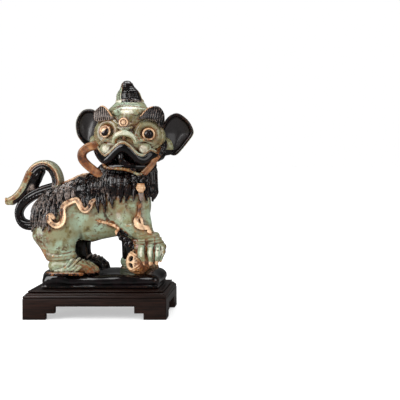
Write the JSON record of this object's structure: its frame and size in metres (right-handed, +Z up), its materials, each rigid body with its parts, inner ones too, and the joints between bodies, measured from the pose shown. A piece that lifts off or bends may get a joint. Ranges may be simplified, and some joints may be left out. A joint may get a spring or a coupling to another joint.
{
  "type": "foo dog statue",
  "caption": "Glazed stoneware guardian lion, forepaw on a pierced ball, face turned to the side, resting on a low wooden stand.",
  "frame": {"origin": "centre of the bottom of the whole object's box, on the surface that the stand's feet stand on", "axes": "+X from the tail to the head end of the lion, -Y the front that the lion's face looks to, +Z up"},
  "size_m": [0.2742, 0.116, 0.3406],
  "materials": {
    "jade_glaze": "gloss",
    "black_glaze": "high gloss",
    "amber_glaze": "satin",
    "dark_wood": "satin"
  },
  "bodies": {
    "stand": {"stand_panel": "dark_wood", "stand_board_front": "dark_wood", "stand_rail_front": "dark_wood", "stand_board_back": "dark_wood", "stand_rail_back": "dark_wood", "stand_board_left": "dark_wood", "stand_rail_left": "dark_wood", "stand_board_right": "dark_wood", "stand_rail_right": "dark_wood", "glue_block_front_left": "dark_wood", "glue_block_front_right": "dark_wood", "glue_block_back_left": "dark_wood", "glue_block_back_right": "dark_wood"},
    "figure": {"plinth": "black_glaze", "right_eyeball": "black_glaze", "left_eyeball": "black_glaze", "right_eye_ring": "amber_glaze", "left_eye_ring": "amber_glaze", "torso": "jade_glaze", "head": "jade_glaze", "tongue": "black_glaze", "lower_jaw": "black_glaze", "ball": "amber_glaze", "neck": "black_glaze", "right_foreleg": "jade_glaze", "left_foreleg": "jade_glaze", "right_hindleg": "jade_glaze", "left_hindleg": "jade_glaze", "right_forepaw": "jade_glaze", "left_forepaw": "jade_glaze", "right_hindpaw": "jade_glaze", "left_hindpaw": "jade_glaze", "topknot": "jade_glaze", "right_brow": "black_glaze", "left_brow": "black_glaze", "nose": "jade_glaze", "forehead_boss": "amber_glaze", "right_forehead_curl": "jade_glaze", "left_forehead_curl": "jade_glaze", "right_ear": "black_glaze", "left_ear": "black_glaze", "right_strap": "amber_glaze", "left_strap": "amber_glaze", "bell": "amber_glaze", "right_scroll": "amber_glaze", "left_scroll": "amber_glaze", "right_leg_scroll": "amber_glaze", "left_leg_scroll": "amber_glaze", "chest_mane": "black_glaze", "tail_stem": "black_glaze", "tail_curl": "black_glaze", "tail_plume": "jade_glaze", "rump_mane": "black_glaze", "back_mane": "black_glaze", "right_elbow_tuft": "black_glaze", "left_elbow_tuft": "black_glaze"}
  },
  "joints": [
    {"name": "figure_lift", "type": "slide", "parent": "stand", "child": "figure", "axis": [0, 0, 1], "range_m": [0, 0.06]}
  ]
}
